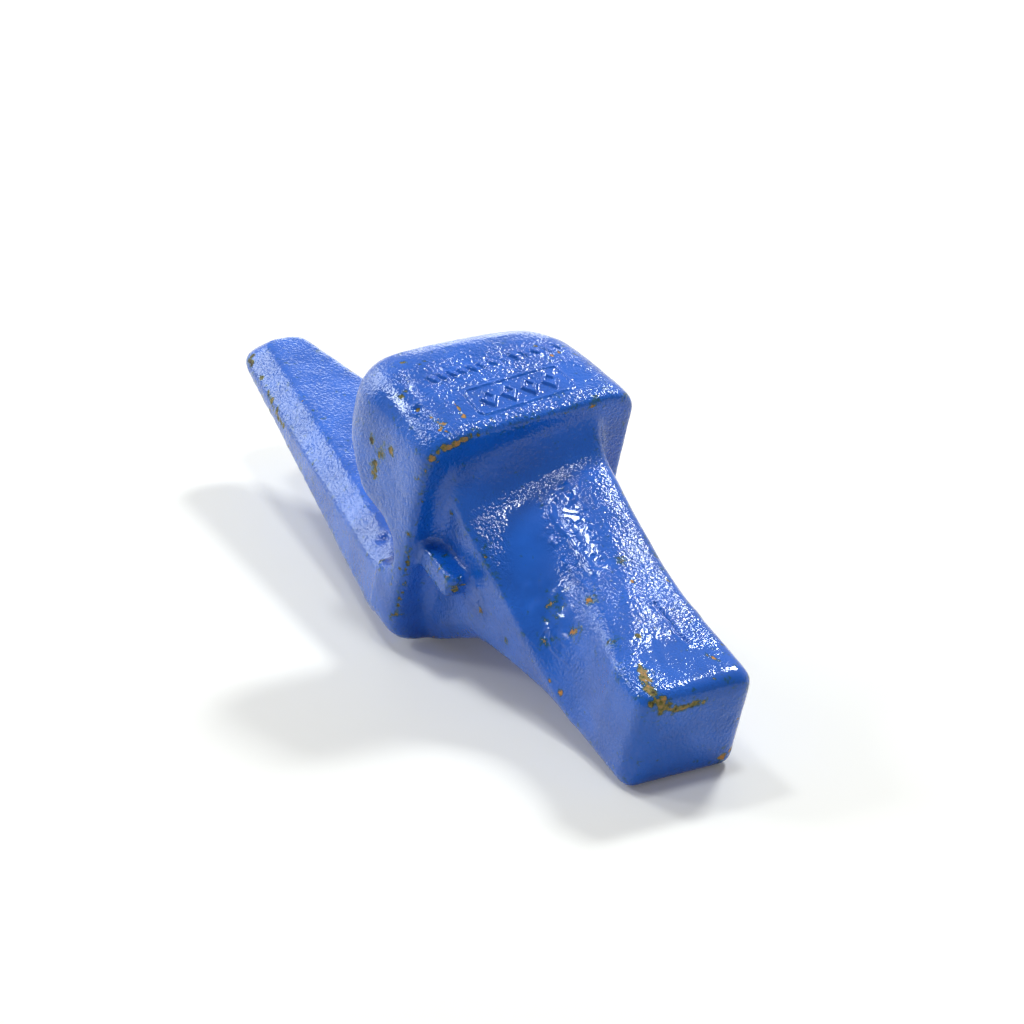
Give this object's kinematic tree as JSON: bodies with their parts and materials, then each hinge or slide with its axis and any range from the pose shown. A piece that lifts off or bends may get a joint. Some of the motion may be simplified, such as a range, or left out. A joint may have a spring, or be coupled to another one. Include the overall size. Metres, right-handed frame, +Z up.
{
  "type": "bucket tooth adapter",
  "caption": "Cast weld-on bucket tooth adapter: forked shank with a hood, a long bevelled strap and a lip slot, and a twisted tapering nose that carries the tooth.",
  "frame": {"origin": "middle of the bounding box's base, on the floor under the casting", "axes": "+X towards the nose tip, +Z up, +Y across the shank; the casting lies on its heel and nose tip"},
  "size_m": [0.3412, 0.0886, 0.1128],
  "materials": {
    "blue_paint": "glossy blue paint over a sand-cast skin, chipped in places"
  },
  "bodies": {
    "root": {"adapter_casting": "blue_paint"}
  },
  "joints": []
}
